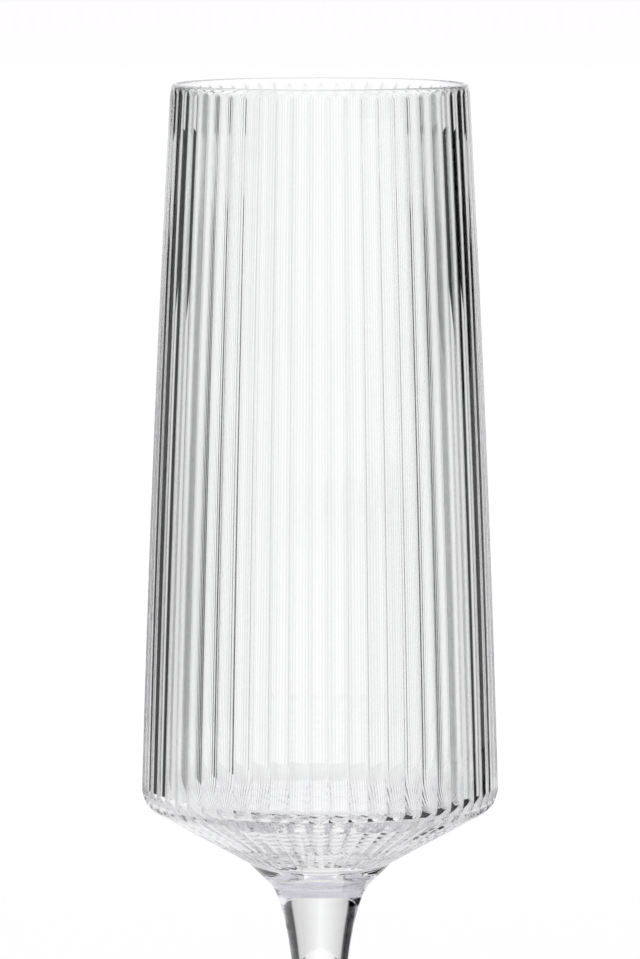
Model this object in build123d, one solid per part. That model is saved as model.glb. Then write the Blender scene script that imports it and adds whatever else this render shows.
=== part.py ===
from build123d import *
import math
import os

# Ribbed champagne flute in clear glass, in millimetres.
# Frame: +Z up along the axis of the glass, origin at the centre of the foot, on the table.
# Three pieces of glass, welded hot, face to face: the ribbed bowl, the drawn stem and the foot.
# Nothing moves.

# ---- Driving dimensions ----
HEIGHT = 238.0  # table to rim

RIM_RADIUS = 24.9  # outside of the bowl at the rim
WIDEST_RADIUS = 30.0  # outside of the bowl, over the ribs, just above its lower corner
SIDE_BULGE = 0.4  # how far the side stands out from a straight cone at mid height
SHARP_CORNER_Z = 117.0  # where the side and the shoulder would meet without the rounding
CORNER_BLEND = 4.3  # radius of that rounding
SHOULDER_SLOPE = math.radians(29.3)  # fall of the shoulder under the corner
SHOULDER_END_RADIUS = 12.3  # where the ribs stop

RIB_COUNT = 57
RIB_DEPTH = 0.3  # crest to valley at the widest level, and less as the bowl narrows
FIRST_RIB_ANGLE = 4.4  # degrees from +X to the nearest crest
RIM_BAND = 0.5  # smooth fire-polished band above the ribs
BAND_INSET = 0.5  # the band lies this share of the rib depth inside the crests
RIB_FADE = 1.2  # length over which the ribs rise from that band
LIP_BLEND = 0.4

WALL_AT_RIM = 1.0  # under the ribs' crests
WALL_AT_CORNER = 1.35
WALL_AT_SHOULDER = 2.0
FLOOR_Z = 109.4  # lowest point of the inside
FLOOR_BLEND = 26.0  # radius between the flat middle of the floor and the shoulder
INNER_CORNER_BLEND = 2.5

# Outlines of the solid glass, each a radius and height. In a curve, the two middle points only steer it.
BOWL_WELD = (7.85, 102.4)  # flat weld between bowl and stem
WAIST = (3.55, 64.0)  # thinnest place of the stem
FOOT_WELD = (6.6, 7.8)  # flat weld between stem and foot
NECK_TOP_RADIUS = 12.1  # a small step in from the ends of the ribs
NECK_STEER = [(11.9, 106.2), (8.25, 103.5)]
UPPER_STEM_STEER = [(5.1, 97.3), (3.55, 84.0)]
LOWER_STEM_STEER = [(3.55, 36.0), (3.6, 11.8)]
FOOT_TOP_STEER = [(9.0, 4.6), (15.0, 2.6)]

FOOT_RADIUS = 34.0
FOOT_EDGE = 1.8  # thickness of the foot at its round edge
FOOT_EDGE_LIFT = 0.3  # gap between the edge and the table
REST_OUTER_RADIUS = 31.5  # the ring that the glass stands on
REST_INNER_RADIUS = 28.5
FOOT_RECESS = 1.2  # height of the hollow under the foot

# ---- Worked-out dimensions ----
PITCH = 360 / RIB_COUNT
BAND_Z = HEIGHT - RIM_BAND
CORNER_TURN = math.radians(90) - SHOULDER_SLOPE
WIDEST_Z = SHARP_CORNER_Z + CORNER_BLEND * math.tan(CORNER_TURN / 2)


def side_radius(z):
    """Radius of the rib crests on the side, a cone with a slight bulge."""
    t = (HEIGHT - z) / (HEIGHT - WIDEST_Z)
    return RIM_RADIUS + (WIDEST_RADIUS - RIM_RADIUS) * t + 4 * SIDE_BULGE * t * (1 - t)


def rib_depth(radius):
    """Crest to valley of ribs whose crests are at this radius."""
    return RIB_DEPTH * radius / WIDEST_RADIUS


def shoulder_z(radius):
    """Height of the shoulder's crests at a radius."""
    return SHARP_CORNER_Z - (WIDEST_RADIUS - radius) * math.tan(SHOULDER_SLOPE)


def rib_section(radius, depth, z):
    """One level of the ribbed outside: rounded ribs that meet in sharp valleys."""
    valley = radius - depth
    arcs = []
    for i in range(RIB_COUNT):
        middle = FIRST_RIB_ANGLE + i * PITCH
        start = Vector(valley, 0, z).rotate(Axis.Z, middle - PITCH / 2)
        crest = Vector(radius, 0, z).rotate(Axis.Z, middle)
        end = Vector(valley, 0, z).rotate(Axis.Z, middle + PITCH / 2)
        arcs.append(Edge.make_three_point_arc(start, crest, end))
    return Face(Wire(arcs))


def ribbed_solid(levels, ruled):
    """A solid through levels of (crest radius, rib depth, height)."""
    return loft([rib_section(*level) for level in levels], ruled=ruled)


def band_inset():
    return BAND_INSET * rib_depth(RIM_RADIUS)


def fading_levels():
    """Under the smooth band, where the ribs rise out of it: crests outwards, valleys inwards."""
    steps = 3
    levels = []
    for i in range(steps + 1):
        z = BAND_Z - RIB_FADE * i / steps
        share = math.sin(math.pi / 2 * i / steps)
        crest = side_radius(z) - (1 - share) * band_inset()
        levels.append((crest, share * rib_depth(side_radius(z)), z))
    return levels


def side_levels():
    """From the faded end of the ribs down to the widest level."""
    steps = 5
    top = BAND_Z - RIB_FADE
    heights = [top + (WIDEST_Z - top) * i / steps for i in range(steps + 1)]
    return [(side_radius(z), rib_depth(side_radius(z)), z) for z in heights]


def corner_levels():
    """Round the lower corner, from the side to the shoulder."""
    steps = 6
    levels = []
    for i in range(steps + 1):
        a = CORNER_TURN * i / steps
        radius = WIDEST_RADIUS - CORNER_BLEND * (1 - math.cos(a))
        levels.append((radius, rib_depth(radius), WIDEST_Z - CORNER_BLEND * math.sin(a)))
    return levels


def shoulder_levels():
    """Down the shoulder, where the ribs run together and get shallower."""
    steps = 4
    start = corner_levels()[-1][0]
    levels = []
    for i in range(steps + 1):
        radius = start + (SHOULDER_END_RADIUS - start) * i / steps
        levels.append((radius, rib_depth(radius), shoulder_z(radius)))
    return levels


def turned(outline):
    """The solid that a closed outline of edges sweeps round the axis."""
    return revolve(Plane.XZ * make_face(outline), Axis.Z)


def turned_under(curves, top, bottom):
    """A turned solid between two flat ends, under curves that run from the top end to the bottom."""
    top_centre = (0, top[1])
    bottom_centre = (0, bottom[1])
    ends = [Line(bottom, bottom_centre), Line(bottom_centre, top_centre), Line(top_centre, top)]
    return turned(curves + ends)


def rim_band():
    """The smooth band above the ribs, rounded off on its outside."""
    outside = RIM_RADIUS - band_inset()
    low = (side_radius(BAND_Z) - band_inset(), BAND_Z)
    high = (outside, HEIGHT - LIP_BLEND)
    lip = (outside - LIP_BLEND, HEIGHT)
    edges = [
        Line((0, BAND_Z), low),
        Line(low, high),
        RadiusArc(high, lip, -LIP_BLEND),
        Line(lip, (0, HEIGHT)),
        Line((0, HEIGHT), (0, BAND_Z)),
    ]
    return turned(edges)


def neck():
    """The solid button under the ribs, which runs into the stem."""
    top = (NECK_TOP_RADIUS, shoulder_z(SHOULDER_END_RADIUS))
    return turned_under([Bezier(top, *NECK_STEER, BOWL_WELD)], top, BOWL_WELD)


def cavity():
    """The smooth inside, with a dished floor, and flared to round off the lip."""
    inner_rim = RIM_RADIUS - WALL_AT_RIM
    inner_corner = WIDEST_RADIUS - WALL_AT_CORNER
    drop = WALL_AT_SHOULDER / math.cos(SHOULDER_SLOPE)
    corner = (inner_corner, shoulder_z(inner_corner) + drop)
    over_floor = corner[1] - FLOOR_Z
    floor_edge = inner_corner - over_floor / math.tan(SHOULDER_SLOPE)
    mid_z = (HEIGHT + corner[1]) / 2
    mid = ((inner_rim + inner_corner) / 2 + SIDE_BULGE, mid_z)
    lip_low = (inner_rim, HEIGHT - LIP_BLEND)
    bottom = FilletPolyline(
        (0, FLOOR_Z), (floor_edge, FLOOR_Z), corner, mid, radius=[FLOOR_BLEND, INNER_CORNER_BLEND]
    )
    edges = [
        bottom,
        Line(mid, lip_low),
        RadiusArc(lip_low, (inner_rim + LIP_BLEND, HEIGHT), LIP_BLEND),
        Line((inner_rim + LIP_BLEND, HEIGHT), (inner_rim + LIP_BLEND, HEIGHT + 2)),
        Line((inner_rim + LIP_BLEND, HEIGHT + 2), (0, HEIGHT + 2)),
        Line((0, HEIGHT + 2), (0, FLOOR_Z)),
    ]
    return turned(edges)


def bowl():
    """The mould-blown bowl: ribbed outside, smooth inside, solid at the bottom."""
    outside = ribbed_solid(side_levels(), ruled=False)
    outside += ribbed_solid(fading_levels(), ruled=True)
    outside += ribbed_solid(corner_levels(), ruled=True)
    outside += ribbed_solid(shoulder_levels(), ruled=True)
    outside += rim_band()
    outside += neck()
    return outside - cavity()


def stem():
    """The drawn stem, waisted between its two welds."""
    curves = [
        Bezier(BOWL_WELD, *UPPER_STEM_STEER, WAIST),
        Bezier(WAIST, *LOWER_STEM_STEER, FOOT_WELD),
    ]
    return turned_under(curves, BOWL_WELD, FOOT_WELD)


def foot():
    """The round foot: gently coned on top, hollowed underneath to a resting ring."""
    round_radius = FOOT_RADIUS - FOOT_EDGE / 2
    edge_top = (round_radius, FOOT_EDGE_LIFT + FOOT_EDGE)
    edge_mid = (FOOT_RADIUS, FOOT_EDGE_LIFT + FOOT_EDGE / 2)
    edge_low = (round_radius, FOOT_EDGE_LIFT)
    rest_inner = (REST_INNER_RADIUS, 0)
    rest_outer = (REST_OUTER_RADIUS, 0)
    edges = [
        Line((0, FOOT_WELD[1]), FOOT_WELD),
        Bezier(FOOT_WELD, *FOOT_TOP_STEER, edge_top),
        ThreePointArc(edge_top, edge_mid, edge_low),
        Line(edge_low, rest_outer),
        Line(rest_outer, rest_inner),
        TangentArc((0, FOOT_RECESS), rest_inner, tangent=(1, 0)),
        Line((0, FOOT_RECESS), (0, FOOT_WELD[1])),
    ]
    return turned(edges)


def write(node, solid, colour):
    solid.label = node
    solid.color = Color(colour)
    export_step(solid, "parts/" + node + ".step")


os.makedirs("parts", exist_ok=True)
write("bowl", bowl(), "lightblue")
write("stem", stem(), "lightsteelblue")
write("foot", foot(), "powderblue")
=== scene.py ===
import math
from collections import namedtuple

import bpy
import numpy as np
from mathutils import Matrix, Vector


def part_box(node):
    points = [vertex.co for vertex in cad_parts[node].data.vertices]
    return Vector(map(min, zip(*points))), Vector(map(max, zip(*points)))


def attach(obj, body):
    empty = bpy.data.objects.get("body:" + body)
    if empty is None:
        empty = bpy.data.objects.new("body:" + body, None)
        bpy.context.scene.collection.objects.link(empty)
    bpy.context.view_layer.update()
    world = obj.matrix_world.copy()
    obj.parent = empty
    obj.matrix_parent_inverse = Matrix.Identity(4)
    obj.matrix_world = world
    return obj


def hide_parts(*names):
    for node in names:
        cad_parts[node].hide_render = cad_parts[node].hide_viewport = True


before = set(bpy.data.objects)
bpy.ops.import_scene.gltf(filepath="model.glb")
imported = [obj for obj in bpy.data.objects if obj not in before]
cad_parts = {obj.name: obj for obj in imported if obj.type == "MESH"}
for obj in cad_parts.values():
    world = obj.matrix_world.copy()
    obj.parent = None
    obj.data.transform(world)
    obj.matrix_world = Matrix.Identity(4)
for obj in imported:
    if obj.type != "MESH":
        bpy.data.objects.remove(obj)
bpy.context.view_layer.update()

# A ribbed champagne flute in clear glass: bowl, stem and foot, each a closed mesh in place of its CAD node.
# Lengths in the outlines are millimetres, as in the CAD, and MM turns them into the scene's metres.
# The flute's axis is Z. Its outlines are drawn in radius and height, and turned round the axis.
MM = 0.001

# ---- Sizes read from the frame ----
bowl_low, bowl_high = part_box("bowl")
foot_low, foot_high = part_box("foot")
RIM_Z = bowl_high.z / MM
BOWL_WELD_Z = bowl_low.z / MM
FOOT_WELD_Z = foot_high.z / MM
WIDEST_RADIUS = (bowl_high.x - bowl_low.x) / 2 / MM
FOOT_RADIUS = (foot_high.x - foot_low.x) / 2 / MM

# ---- Outside of the bowl ----
RIM_RADIUS = 24.9
SIDE_BULGE = 0.4  # how far the side stands out from a straight cone at mid height
SHARP_CORNER_Z = 117.0  # where the side and the shoulder would meet without the rounding
CORNER_BLEND = 4.3  # radius of that rounding
SHOULDER_SLOPE = math.radians(29.3)
SHOULDER_END_RADIUS = 12.3  # where the ribs stop
NECK_TOP_RADIUS = 12.1
NECK_STEER = ((11.9, 106.2), (8.25, 103.5))
BOWL_WELD_RADIUS = 7.85
CORNER_TURN = math.pi / 2 - SHOULDER_SLOPE
WIDEST_Z = SHARP_CORNER_Z + CORNER_BLEND * math.tan(CORNER_TURN / 2)

# ---- Ribs ----
RIB_COUNT = 57
RIB_DEPTH = 0.33  # crest to valley at the widest level, and less as the bowl narrows
FIRST_RIB_ANGLE = math.radians(4.4)
SHALLOWEST = 0.5  # what is left of the ribs where the shoulder ends
RIB_EDGE = 0.05  # share of half a rib that rounds off the sharp valley
RIB_START = 1.2  # the ribs rise out of the neck over this much radius
RIM_BAND = 0.5  # smooth fire-polished band above the ribs
RIB_FADE = 1.2  # length over which the ribs rise from that band
BAND_INSET = 0.5  # the band lies this share of the rib depth inside the crests
BAND_Z = RIM_Z - RIM_BAND
HALF_PITCH = math.pi / RIB_COUNT

# ---- Inside of the bowl ----
WALL_AT_RIM = 1.0
WALL_AT_CORNER = 1.35
WALL_AT_SHOULDER = 2.0
FLOOR_Z = 109.4
FLOOR_BLEND = 26.0
INNER_CORNER_BLEND = 2.5
RIPPLE = 0.02  # height of the turning rings inside the shoulder
RIPPLE_PITCH = 1.9

# ---- Stem and foot ----
WAIST = (3.55, 64.0)
UPPER_STEM_STEER = ((5.1, 97.3), (3.55, 84.0))
LOWER_STEM_STEER = ((3.55, 36.0), (3.6, 11.8))
FOOT_WELD_RADIUS = 6.6
FOOT_TOP_STEER = ((9.0, 4.6), (15.0, 2.6))
FOOT_EDGE = 1.8  # thickness of the foot at its round edge
FOOT_EDGE_LIFT = 0.3  # gap between the edge and the table
REST_OUTER_RADIUS = 31.5  # the ring that the glass stands on
REST_INNER_RADIUS = 28.5
FOOT_RECESS = 1.2  # height of the hollow under the foot

# ---- Mesh fineness ----
RIB_STEPS = 24  # columns across one rib
EDGE_STEPS = 3  # of those, columns on each rounded edge of a rib
SMOOTH_STEPS = 8  # columns across one rib's width where there are no ribs
TURNED_COLUMNS = 288  # columns of the stem and the foot
POLE_RADIUS = 0.3  # innermost ring, round the point on the axis
CREASE = 0.05  # width of the narrow band that keeps the edge of the hollow crisp
STRAIGHT_ROWS = 2
NECK_ROWS = 16
RIB_START_ROWS = 6
SHOULDER_ROWS = 8
CORNER_ROWS = 12
SIDE_ROWS = 10
FADE_ROWS = 10
LIP_ROWS = 12
WALL_ROWS = 12
INNER_SHOULDER_ROWS = 40
FLOOR_ROWS = 60
LOWER_STEM_ROWS = 28
UPPER_STEM_ROWS = 20
HOLLOW_ROWS = 14
FOOT_EDGE_ROWS = 16
FOOT_TOP_ROWS = 26
HEADING_STEP = 1e-4  # share of a stretch over which its direction is taken
RIPPLE_HEADING_STEP = 1e-3

# ---- Glass ----
IOR = 1.52
WAVE_LENGTH = 0.006  # metres, as are the two sizes below
WAVE_STRETCH = 0.35  # waves run up and down the glass, so they are drawn out along Z
WAVE_HEIGHT = 0.00001
CLOUD_SIZE = 0.02
WAVE_DETAIL = 1.0
CLOUD_DETAIL = 3.0
HAZE_FROM = 0.45  # the cloud's levels where the haze starts and where it is strongest
HAZE_TO = 0.75
MOST_HAZE = 0.02
PALE_TINT = (0.985, 0.986, 0.990)
DEEP_TINT = (0.970, 0.974, 0.975)

# ---- Studio light ----
# Clear glass shows only what stands round it. Ring strips on the floor and a screen, which the camera doesn't
# see, are black apart from bright windows, and give the glass its dark lines. A direction is in degrees round
# the flute: 0 is behind it and 90 to its left.
Window = namedtuple("Window", "middle half_width bright edge")
BEHIND = Window(0, 22.5, 1.12, 0.88)
LEFT = Window(90, 33, 0.95, 0.75)
RIGHT = Window(270, 33, 0.95, 0.75)
FRONT = Window(180, 35, 0.95, 0.8)
DIM_FRONT = Window(180, 35, 0.6, 0.5)
NARROW_FRONT = Window(174, 18, 0.95, 0.8)
FRONT_RIGHT = Window(225, 26, 1.0, 0.9)
# Each strip is a name, its inner and outer radius in metres, and its windows.
FLOOR_STRIPS = (
    ("close", 0.05, 0.16, (Window(45, 69, 0.9, 0.75), Window(225, 50, 0.9, 0.75))),
    ("near", 0.16, 0.40, (Window(45, 69, 1.0, 0.85), Window(225, 60, 0.9, 0.8))),
    ("low", 0.40, 0.58, (Window(22, 46, 1.0, 0.85), Window(105, 20, 0.9, 0.8), FRONT_RIGHT)),
    ("middle", 0.58, 1.10, (BEHIND, LEFT, NARROW_FRONT, FRONT_RIGHT)),
    ("far", 1.10, 4.5, (BEHIND, LEFT, RIGHT, FRONT)),
    ("farthest", 4.5, 6.0, (Window(0, 30, 1.1, 0.7), LEFT, RIGHT, DIM_FRONT)),
)
SCREEN_WINDOWS = (Window(0, 35, 1.0, 0.6), Window(95, 28, 0.95, 0.75), Window(205, 60, 0.9, 0.75))
SCREEN_RADIUS = 6.0
SCREEN_TOP = 3.2
STRIP_LIFT = 0.0005  # height of the strips over the floor
STRIP_SIDES = 120
WINDOW_SOFTNESS = 2  # degrees on each side of a window's edge
FLOOR_SIZE = 80.0
FLOOR_SHADE = (0.85, 0.85, 0.85)
FLOOR_GLOW = 0.4
HORIZON = 1.05
OVERHEAD = (0.60, 0.58, 0.64)
HORIZON_END = 0.05  # sine of the elevation where the sky starts to dim
OVERHEAD_START = 0.65  # and of the one where it has reached OVERHEAD

# ---- Camera ----
LENS = 242.6
SENSOR_WIDTH = 36
CAMERA_DISTANCE = 1.078  # metres from the flute's axis
CAMERA_OVER_RIM = 45.6  # millimetres
CAMERA_PITCH = math.radians(-5.93)
CAMERA_REACH = 60
GLASS_BOUNCES = 128
WELD_BOUNCES = 24


# ---- Outlines ----
# A path is a function of t, from 0 to 1, that gives a radius and a height. A row is one level of an outline:
# its radius and height, the unit direction of travel along the outline, and the depth of the ribs there.
# Outlines run with the glass on their left.

Row = namedtuple("Row", "radius height out up rib_depth")


def heading(path, t, step):
    """Unit direction of travel along a path."""
    before = path(max(0.0, t - step))
    after = path(min(1.0, t + step))
    out, up = after[0] - before[0], after[1] - before[1]
    length = math.hypot(out, up)
    return out / length, up / length


def rows_along(path, steps, depth=None, joined=False):
    """Rows along a path. depth gives the rib depth at t. A joined path leaves out its first row."""
    rows = []
    for i in range(1 if joined else 0, steps + 1):
        t = i / steps
        rows.append(Row(*path(t), *heading(path, t, HEADING_STEP), depth(t) if depth else 0.0))
    return rows


def line(start, end):
    def path(t):
        return start[0] + (end[0] - start[0]) * t, start[1] + (end[1] - start[1]) * t
    return path


def arc(centre, radius, start, end):
    """Angles are from outwards towards up."""
    def path(t):
        angle = start + (end - start) * t
        return centre[0] + radius * math.cos(angle), centre[1] + radius * math.sin(angle)
    return path


def bezier(*points):
    """A cubic curve from the first point to the last, steered by the two between them."""
    def path(t):
        s = 1 - t
        weights = (s * s * s, 3 * s * s * t, 3 * s * t * t, t * t * t)
        return tuple(sum(w * p[k] for w, p in zip(weights, points)) for k in (0, 1))
    return path


def rippled(path, length):
    """The same path with the faint rings that turning leaves in the glass."""
    def ripple_path(t):
        radius, height = path(t)
        out, up = heading(path, t, RIPPLE_HEADING_STEP)
        wave = RIPPLE * math.sin(math.pi * t) * math.sin(2 * math.pi * length * t / RIPPLE_PITCH)
        return radius + up * wave, height - out * wave
    return ripple_path


def rise(t):
    """0 to 1 with level ends."""
    return t * t * (3 - 2 * t)


def side_radius(z):
    """Radius of the rib crests on the side, a cone with a slight bulge."""
    t = (RIM_Z - z) / (RIM_Z - WIDEST_Z)
    return RIM_RADIUS + (WIDEST_RADIUS - RIM_RADIUS) * t + 4 * SIDE_BULGE * t * (1 - t)


def shoulder_z(radius):
    return SHARP_CORNER_Z - (WIDEST_RADIUS - radius) * math.tan(SHOULDER_SLOPE)


def rib_depth(radius):
    return RIB_DEPTH * radius / WIDEST_RADIUS


def shoulder_depth(radius):
    """The ribs run together on the shoulder and get shallower than in proportion."""
    share = (radius - SHOULDER_END_RADIUS) / (WIDEST_RADIUS - SHOULDER_END_RADIUS)
    return rib_depth(radius) * (SHALLOWEST + (1 - SHALLOWEST) * share)


def band_inset():
    return BAND_INSET * rib_depth(side_radius(BAND_Z))


def neck_rows():
    """Up the outside of the neck, from the weld to the ends of the ribs."""
    top = (NECK_TOP_RADIUS, shoulder_z(SHOULDER_END_RADIUS))
    weld = (BOWL_WELD_RADIUS, BOWL_WELD_Z)
    return rows_along(bezier(weld, NECK_STEER[1], NECK_STEER[0], top), NECK_ROWS)


def ribbed_rows():
    """On up the outside: the shoulder, the lower corner, the side and the fade into the smooth band."""
    shoulder_end = (SHOULDER_END_RADIUS, shoulder_z(SHOULDER_END_RADIUS))
    full_radius = SHOULDER_END_RADIUS + RIB_START
    full = (full_radius, shoulder_z(full_radius))
    corner = arc((WIDEST_RADIUS - CORNER_BLEND, WIDEST_Z), CORNER_BLEND, -CORNER_TURN, 0)
    shoulder = line(full, corner(0))
    fade_z = BAND_Z - RIB_FADE

    def side(t):
        z = WIDEST_Z + (fade_z - WIDEST_Z) * t
        return side_radius(z), z

    def fade(t):
        z = fade_z + RIB_FADE * t
        return side_radius(z) - band_inset() * rise(t), z

    start = line(shoulder_end, full)
    rows = rows_along(start, RIB_START_ROWS, lambda t: shoulder_depth(full_radius) * rise(t))
    rows += rows_along(shoulder, SHOULDER_ROWS, lambda t: shoulder_depth(shoulder(t)[0]), joined=True)
    rows += rows_along(corner, CORNER_ROWS, lambda t: shoulder_depth(corner(t)[0]), joined=True)
    rows += rows_along(side, SIDE_ROWS, lambda t: rib_depth(side(t)[0]), joined=True)
    rows += rows_along(fade, FADE_ROWS, lambda t: rib_depth(fade(t)[0]) * (1 - rise(t)), joined=True)
    return rows


def lip_rows(lip):
    """Up the smooth band and over the lip, which is a half circle of this radius."""
    def band(t):
        z = BAND_Z + (RIM_Z - lip - BAND_Z) * t
        return side_radius(z) - band_inset(), z

    centre = (RIM_RADIUS - band_inset() - lip, RIM_Z - lip)
    rows = rows_along(band, STRAIGHT_ROWS, joined=True)
    return rows + rows_along(arc(centre, lip, 0, math.pi), LIP_ROWS, joined=True)


def inside_rows(lip):
    """Down the inside: the wall, the lower corner, the shoulder and the dished floor."""
    inner_rim = RIM_RADIUS - WALL_AT_RIM
    inner_corner = WIDEST_RADIUS - WALL_AT_CORNER
    corner_z = shoulder_z(inner_corner) + WALL_AT_SHOULDER / math.cos(SHOULDER_SLOPE)
    reach = INNER_CORNER_BLEND * math.tan(CORNER_TURN / 2)
    wall_top = RIM_Z - lip
    wall_end = corner_z + reach

    def wall(t):
        z = wall_top + (wall_end - wall_top) * t
        return inner_rim + (inner_corner - inner_rim) * t + 4 * SIDE_BULGE * t * (1 - t), z

    corner = arc((inner_corner - INNER_CORNER_BLEND, wall_end), INNER_CORNER_BLEND, 0, -CORNER_TURN)
    out, up = math.cos(SHOULDER_SLOPE), math.sin(SHOULDER_SLOPE)
    floor_edge = inner_corner - (corner_z - FLOOR_Z) / math.tan(SHOULDER_SLOPE)
    floor_reach = FLOOR_BLEND * math.tan(SHOULDER_SLOPE / 2)
    flat_radius = floor_edge - floor_reach
    start = (inner_corner - reach * out, corner_z - reach * up)
    end = (floor_edge + floor_reach * out, FLOOR_Z + floor_reach * up)
    shoulder = rippled(line(start, end), math.hypot(end[0] - start[0], end[1] - start[1]))
    dish_centre = (flat_radius, FLOOR_Z + FLOOR_BLEND)
    straight_down = -math.pi / 2
    dish = arc(dish_centre, FLOOR_BLEND, straight_down + SHOULDER_SLOPE, straight_down)
    rows = rows_along(wall, WALL_ROWS, joined=True)
    rows += rows_along(corner, CORNER_ROWS, joined=True)
    rows += rows_along(shoulder, INNER_SHOULDER_ROWS, joined=True)
    rows += rows_along(rippled(dish, FLOOR_BLEND * SHOULDER_SLOPE), FLOOR_ROWS, joined=True)
    middle = line((flat_radius, FLOOR_Z), (POLE_RADIUS, FLOOR_Z))
    return rows + rows_along(middle, STRAIGHT_ROWS, joined=True)


def stem_rows():
    """Up the stem from weld to weld."""
    foot_end = (FOOT_WELD_RADIUS, FOOT_WELD_Z)
    bowl_end = (BOWL_WELD_RADIUS, BOWL_WELD_Z)
    lower = bezier(foot_end, LOWER_STEM_STEER[1], LOWER_STEM_STEER[0], WAIST)
    upper = bezier(WAIST, UPPER_STEM_STEER[1], UPPER_STEM_STEER[0], bowl_end)
    return rows_along(lower, LOWER_STEM_ROWS) + rows_along(upper, UPPER_STEM_ROWS, joined=True)


def foot_rows():
    """From the middle of the hollow underside, over the resting ring and the edge, up to the weld."""
    hollow_radius = (REST_INNER_RADIUS ** 2 + FOOT_RECESS ** 2) / (2 * FOOT_RECESS)
    hollow_turn = math.asin(REST_INNER_RADIUS / hollow_radius)
    rest_inner = (REST_INNER_RADIUS + CREASE, 0.0)
    rest_outer = (REST_OUTER_RADIUS, 0.0)
    edge_radius = FOOT_EDGE / 2
    edge_centre = (FOOT_RADIUS - edge_radius, FOOT_EDGE_LIFT + edge_radius)
    edge_low = (edge_centre[0], FOOT_EDGE_LIFT)
    edge_top = (edge_centre[0], FOOT_EDGE_LIFT + FOOT_EDGE)
    weld = (FOOT_WELD_RADIUS, FOOT_WELD_Z)

    def hollow(t):
        radius = max(POLE_RADIUS, hollow_radius * math.sin(hollow_turn * t))
        return radius, FOOT_RECESS - hollow_radius * (1 - math.cos(hollow_turn * t))

    rows = rows_along(hollow, HOLLOW_ROWS)
    rows += rows_along(line(rest_inner, rest_outer), STRAIGHT_ROWS)
    rows += rows_along(line(rest_outer, edge_low), STRAIGHT_ROWS, joined=True)
    edge = arc(edge_centre, edge_radius, -math.pi / 2, math.pi / 2)
    rows += rows_along(edge, FOOT_EDGE_ROWS, joined=True)
    top = bezier(edge_top, FOOT_TOP_STEER[1], FOOT_TOP_STEER[0], weld)
    return rows + rows_along(top, FOOT_TOP_ROWS, joined=True)


# ---- Turning outlines into closed meshes ----
# Columns are azimuths and, at each, the rib's drop below its crest (0 to 1) and that drop's slope.

Columns = namedtuple("Columns", "angles drops slopes")


def plain_columns(count, first=0.0):
    return Columns(first + 2 * math.pi * np.arange(count) / count, 0.0, 0.0)


def ribbed_columns():
    """Columns over all the ribs. A rib is a parabola across, with its sharp edges rounded off."""
    knee = 1 - RIB_EDGE
    inner = RIB_STEPS - 2 * EDGE_STEPS
    shares = [-1 + i * RIB_EDGE / EDGE_STEPS for i in range(EDGE_STEPS)]
    shares += [knee * (2 * i / inner - 1) for i in range(inner + 1)]
    shares += [1 - i * RIB_EDGE / EDGE_STEPS for i in reversed(range(1, EDGE_STEPS))]
    across = np.array(shares)
    away = np.abs(across)
    over = np.maximum(away - knee, 0)
    drop = np.minimum(away, knee) ** 2 + 2 * knee * (over - over ** 2 / (2 * RIB_EDGE))
    slope = np.sign(across) * np.where(away < knee, 2 * away, 2 * knee * (1 - over / RIB_EDGE))
    crests = [FIRST_RIB_ANGLE + 2 * HALF_PITCH * i for i in range(RIB_COUNT)]
    angles = np.concatenate([crest + across * HALF_PITCH for crest in crests])
    return Columns(angles, np.tile(drop, RIB_COUNT), np.tile(slope / HALF_PITCH, RIB_COUNT))


def depth_rates(rows):
    """How fast the rib depth changes along the outline, at each row."""
    rates = []
    for i in range(len(rows)):
        before, after = rows[max(0, i - 1)], rows[min(len(rows) - 1, i + 1)]
        run = math.hypot(after.radius - before.radius, after.height - before.height)
        rates.append((after.rib_depth - before.rib_depth) / run)
    return rates


def ring(row, columns, rate):
    """Points and normals of one ring of the mesh."""
    cosine, sine = np.cos(columns.angles), np.sin(columns.angles)
    level = np.zeros_like(columns.angles)
    sink = row.rib_depth * columns.drops
    radius = row.radius - sink * row.up
    height = row.height + sink * row.out + level
    points = np.stack([radius * cosine, radius * sine, height], 1)
    around = row.rib_depth * columns.slopes / row.radius
    climb = rate * columns.drops
    out = row.up + climb * row.out
    up = -row.out + climb * row.up + level
    normals = np.stack([out * cosine - around * sine, out * sine + around * cosine, up], 1)
    return points, normals / np.linalg.norm(normals, axis=1)[:, None]


def rings_of(rows, columns):
    return [ring(row, columns, rate) for row, rate in zip(rows, depth_rates(rows))]


def band_faces(first, first_count, second, second_count):
    """Faces between two rings, each given by the index of its first point and its number of points."""
    if first_count == second_count:
        pairs = [(j, (j + 1) % first_count) for j in range(first_count)]
        return [(first + j, first + k, second + k, second + j) for j, k in pairs]
    flipped = first_count > second_count
    few, many = (second, first) if flipped else (first, second)
    few_count, many_count = sorted((first_count, second_count))
    ratio = many_count // few_count
    half = ratio // 2
    faces = []
    for j in range(few_count):
        here, there = few + j, few + (j + 1) % few_count
        fine = [many + (ratio * j + i) % many_count for i in range(ratio + 1)]
        fan = [(here, fine[i + 1], fine[i]) for i in range(half)]
        fan.append((here, there, fine[half]))
        fan += [(there, fine[i + 1], fine[i]) for i in range(half, ratio)]
        faces += [face[::-1] for face in fan] if flipped else fan
    return faces


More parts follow.
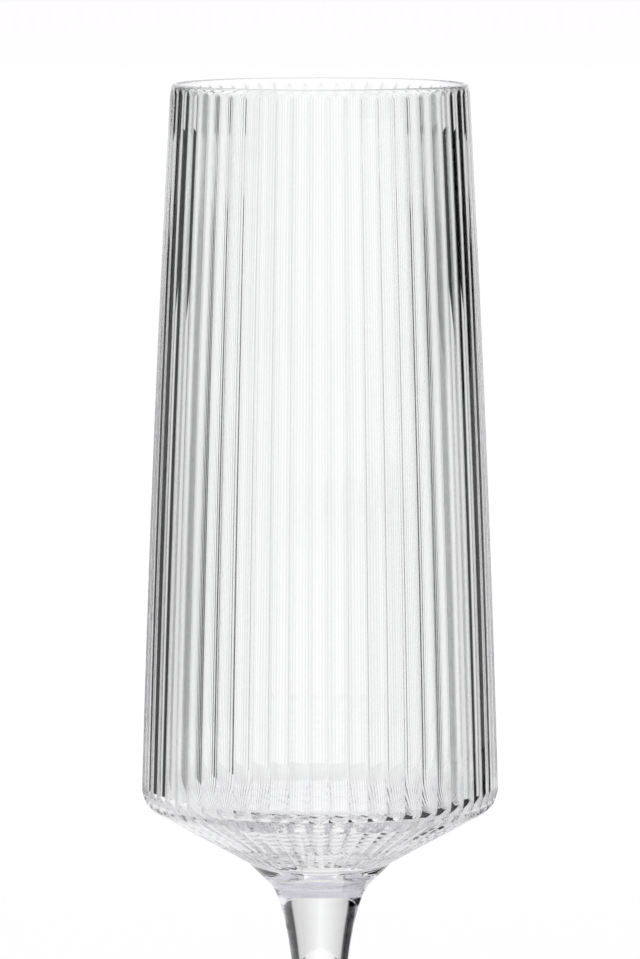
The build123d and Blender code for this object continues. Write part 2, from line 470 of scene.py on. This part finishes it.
def glass_piece(name, rings, welded_start=False, welded_end=False):
    """A closed piece from rings of points and normals. Its two ends are closed round points on the axis."""
    counts = [len(points) for points, normals in rings]
    firsts = [sum(counts[:i]) for i in range(len(counts))]
    total = sum(counts)
    low_pole = (0, 0, rings[0][0][0, 2])
    high_pole = (0, 0, rings[-1][0][0, 2])
    points = np.vstack([p for p, n in rings] + [low_pole, high_pole])
    normals = np.vstack([n for p, n in rings] + [(0, 0, -1), (0, 0, 1)])
    faces = []
    for i in range(len(rings) - 1):
        faces += band_faces(firsts[i], counts[i], firsts[i + 1], counts[i + 1])
    slots = [0] * len(faces)
    faces += [(total, (j + 1) % counts[0], j) for j in range(counts[0])]
    slots += [int(welded_start)] * counts[0]
    last, count = firsts[-1], counts[-1]
    faces += [(total + 1, last + j, last + (j + 1) % count) for j in range(count)]
    slots += [int(welded_end)] * count
    mesh = bpy.data.meshes.new(name)
    mesh.from_pydata((points * MM).tolist(), [], faces)
    mesh.materials.append(CLEAR_GLASS)
    mesh.materials.append(FUSED_GLASS)
    mesh.polygons.foreach_set("material_index", slots)
    mesh.polygons.foreach_set("use_smooth", [True] * len(faces))
    mesh.update()
    mesh.normals_split_custom_set_from_vertices(normals.tolist())
    piece = bpy.data.objects.new(name, mesh)
    bpy.context.scene.collection.objects.link(piece)
    return piece


def build_bowl():
    """Neck from the weld up, ribbed outside, lip, and the inside down to the middle of the floor."""
    ribbed = ribbed_columns()
    smooth = plain_columns(RIB_COUNT * SMOOTH_STEPS, ribbed.angles[0])
    lip = (WALL_AT_RIM - band_inset()) / 2
    rings = rings_of(neck_rows(), smooth)
    rings += rings_of(ribbed_rows(), ribbed)
    rings += rings_of(lip_rows(lip) + inside_rows(lip), smooth)
    return glass_piece("bowl_glass", rings, welded_start=True)


def build_stem():
    rings = rings_of(stem_rows(), plain_columns(TURNED_COLUMNS))
    return glass_piece("stem_glass", rings, welded_start=True, welded_end=True)


def build_foot():
    rings = rings_of(foot_rows(), plain_columns(TURNED_COLUMNS))
    return glass_piece("foot_glass", rings, welded_end=True)


# ---- Materials ----

def new_material(name):
    """An empty node material: the material, its nodes, its links and the output's surface socket."""
    material = bpy.data.materials.new(name)
    material.use_nodes = True
    nodes = material.node_tree.nodes
    nodes.clear()
    surface = nodes.new("ShaderNodeOutputMaterial").inputs["Surface"]
    return material, nodes, material.node_tree.links, surface


def noise(nodes, links, vector, scale, detail):
    texture = nodes.new("ShaderNodeTexNoise")
    texture.inputs["Scale"].default_value = scale
    texture.inputs["Detail"].default_value = detail
    links.new(vector, texture.inputs["Vector"])
    return texture.outputs["Fac"]


def clear_glass():
    """Clear fire-polished glass: slow waves from blowing, a faint uneven tint and hardly any haze."""
    material, nodes, links, surface = new_material("clear_glass")
    glass = nodes.new("ShaderNodeBsdfPrincipled")
    glass.inputs["Transmission Weight"].default_value = 1.0
    glass.inputs["IOR"].default_value = IOR
    place = nodes.new("ShaderNodeTexCoord")
    stretch = nodes.new("ShaderNodeMapping")
    stretch.inputs["Scale"].default_value = (1.0, 1.0, WAVE_STRETCH)
    links.new(place.outputs["Object"], stretch.inputs["Vector"])
    waves = noise(nodes, links, stretch.outputs["Vector"], 1 / WAVE_LENGTH, WAVE_DETAIL)
    cloud = noise(nodes, links, stretch.outputs["Vector"], 1 / CLOUD_SIZE, CLOUD_DETAIL)
    bump = nodes.new("ShaderNodeBump")
    bump.inputs["Strength"].default_value = 1.0
    bump.inputs["Distance"].default_value = WAVE_HEIGHT
    links.new(waves, bump.inputs["Height"])
    links.new(bump.outputs["Normal"], glass.inputs["Normal"])
    haze = nodes.new("ShaderNodeMapRange")
    haze.inputs["From Min"].default_value = HAZE_FROM
    haze.inputs["From Max"].default_value = HAZE_TO
    haze.inputs["To Max"].default_value = MOST_HAZE
    links.new(cloud, haze.inputs["Value"])
    links.new(haze.outputs["Result"], glass.inputs["Roughness"])
    tint = nodes.new("ShaderNodeValToRGB")
    tint.color_ramp.elements[0].color = (*PALE_TINT, 1)
    tint.color_ramp.elements[1].color = (*DEEP_TINT, 1)
    links.new(cloud, tint.inputs["Fac"])
    links.new(tint.outputs["Color"], glass.inputs["Base Color"])
    links.new(glass.outputs["BSDF"], surface)
    return material


def fused_glass():
    """Where two pieces are melted together, light goes straight through."""
    material, nodes, links, surface = new_material("fused_glass")
    links.new(nodes.new("ShaderNodeBsdfTransparent").outputs["BSDF"], surface)
    return material


CLEAR_GLASS = clear_glass()
FUSED_GLASS = fused_glass()


# ---- Studio ----

def stage_mesh(name, corners, faces, material):
    mesh = bpy.data.meshes.new(name)
    mesh.from_pydata(corners, [], faces)
    mesh.materials.append(material)
    thing = bpy.data.objects.new(name, mesh)
    bpy.context.scene.collection.objects.link(thing)
    return thing


def brightness_stops(windows):
    """Ramp stops (place from 0 to 1, brightness) once round the flute: black, with soft-edged windows.

    The ramp starts and ends in front of the flute, so both ends get the level that the window there has.
    """
    stops = []
    for middle, half_width, bright, edge in windows:
        outer, inner = half_width + WINDOW_SOFTNESS, half_width - WINDOW_SOFTNESS
        levels = ((-outer, 0.0), (-inner, edge), (0, bright), (inner, edge), (outer, 0.0))
        stops += [((middle + away + 180) % 360 / 360, level) for away, level in levels]
    stops.sort()
    gap = stops[0][0] + 1 - stops[-1][0]
    end = stops[-1][1] + (stops[0][1] - stops[-1][1]) * (1 - stops[-1][0]) / gap
    return [(0.0, end)] + stops + [(1.0, end)]


def strip_light(name, windows):
    """Light that changes only with the direction from the flute's axis to the place on the strip."""
    material, nodes, links, surface = new_material(name)
    light = nodes.new("ShaderNodeEmission")
    place = nodes.new("ShaderNodeNewGeometry")
    split = nodes.new("ShaderNodeSeparateXYZ")
    turn = nodes.new("ShaderNodeMath")
    turn.operation = "ARCTAN2"
    share = nodes.new("ShaderNodeMapRange")
    share.inputs["From Min"].default_value = math.pi
    share.inputs["From Max"].default_value = -math.pi
    ramp = nodes.new("ShaderNodeValToRGB")
    links.new(place.outputs["Position"], split.inputs["Vector"])
    links.new(split.outputs["X"], turn.inputs[0])
    links.new(split.outputs["Y"], turn.inputs[1])
    links.new(turn.outputs["Value"], share.inputs["Value"])
    links.new(share.outputs["Result"], ramp.inputs["Fac"])
    links.new(ramp.outputs["Color"], light.inputs["Color"])
    links.new(light.outputs["Emission"], surface)
    stops = brightness_stops(windows)
    elements = ramp.color_ramp.elements
    while len(elements) < len(stops):
        elements.new(0.5)
    for element, (where, level) in zip(elements, stops):
        element.position = where
        element.color = (level, level, level, 1)
    return material


def strip(name, inner, outer, windows):
    """A ring between two circles, each a radius and a height, seen only through and in the glass."""
    corners = []
    faces = []
    for i in range(STRIP_SIDES):
        angle = 2 * math.pi * i / STRIP_SIDES
        corners += [(radius * math.cos(angle), radius * math.sin(angle), z) for radius, z in (inner, outer)]
        k = (i + 1) % STRIP_SIDES
        faces.append((2 * i, 2 * i + 1, 2 * k + 1, 2 * k))
    name = "surround_" + name
    thing = stage_mesh(name, corners, faces, strip_light(name, windows))
    thing.visible_camera = False
    thing.visible_diffuse = False
    thing.visible_shadow = False


def floor():
    """A pale matt floor with a glow of its own, so that it stays white."""
    material, nodes, links, surface = new_material("studio_floor")
    paint = nodes.new("ShaderNodeBsdfPrincipled")
    paint.inputs["Base Color"].default_value = (*FLOOR_SHADE, 1)
    paint.inputs["Roughness"].default_value = 0.9
    paint.inputs["Specular IOR Level"].default_value = 0.1
    paint.inputs["Emission Color"].default_value = (1, 1, 1, 1)
    paint.inputs["Emission Strength"].default_value = FLOOR_GLOW
    links.new(paint.outputs["BSDF"], surface)
    half = FLOOR_SIZE / 2
    corners = [(-half, -half, 0), (half, -half, 0), (half, half, 0), (-half, half, 0)]
    stage_mesh("studio_floor", corners, [(0, 1, 2, 3)], material)


def sky():
    """Soft light all round: bright at the horizon, dimmer overhead."""
    world = bpy.data.worlds.new("studio")
    bpy.context.scene.world = world
    world.use_nodes = True
    nodes, links = world.node_tree.nodes, world.node_tree.links
    where = nodes.new("ShaderNodeTexCoord")
    split = nodes.new("ShaderNodeSeparateXYZ")
    ramp = nodes.new("ShaderNodeValToRGB")
    links.new(where.outputs["Generated"], split.inputs["Vector"])
    links.new(split.outputs["Z"], ramp.inputs["Fac"])
    links.new(ramp.outputs["Color"], nodes["Background"].inputs["Color"])
    low, high = ramp.color_ramp.elements
    low.position, high.position = HORIZON_END, OVERHEAD_START
    low.color, high.color = (1, 1, 1, 1), (*OVERHEAD, 1)
    nodes["Background"].inputs["Strength"].default_value = HORIZON


def studio():
    """The floor, the sky and the strips of light, in plain colours that keep white white."""
    bpy.context.scene.view_settings.view_transform = "Standard"
    floor()
    sky()
    for name, inner, outer, windows in FLOOR_STRIPS:
        strip(name, (inner, STRIP_LIFT), (outer, STRIP_LIFT), windows)
    strip("screen", (SCREEN_RADIUS, STRIP_LIFT), (SCREEN_RADIUS, SCREEN_TOP), SCREEN_WINDOWS)


def camera():
    data = bpy.data.cameras.new("camera")
    data.lens = LENS
    data.sensor_width = SENSOR_WIDTH
    data.clip_end = CAMERA_REACH
    view = bpy.data.objects.new("camera", data)
    bpy.context.scene.collection.objects.link(view)
    view.location = (0, -CAMERA_DISTANCE, (RIM_Z + CAMERA_OVER_RIM) * MM)
    view.rotation_euler = (math.pi / 2 + CAMERA_PITCH, 0, 0)
    bpy.context.scene.camera = view


def light_paths():
    """Enough bounces for light that is reflected many times inside the solid neck."""
    cycles = bpy.context.scene.cycles
    cycles.max_bounces = GLASS_BOUNCES
    cycles.transmission_bounces = GLASS_BOUNCES
    cycles.glossy_bounces = GLASS_BOUNCES
    cycles.transparent_max_bounces = WELD_BOUNCES
    cycles.caustics_reflective = True
    cycles.caustics_refractive = True


for piece, node in ((build_bowl(), "bowl"), (build_stem(), "stem"), (build_foot(), "foot")):
    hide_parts(node)
    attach(piece, "root")
studio()
camera()
light_paths()
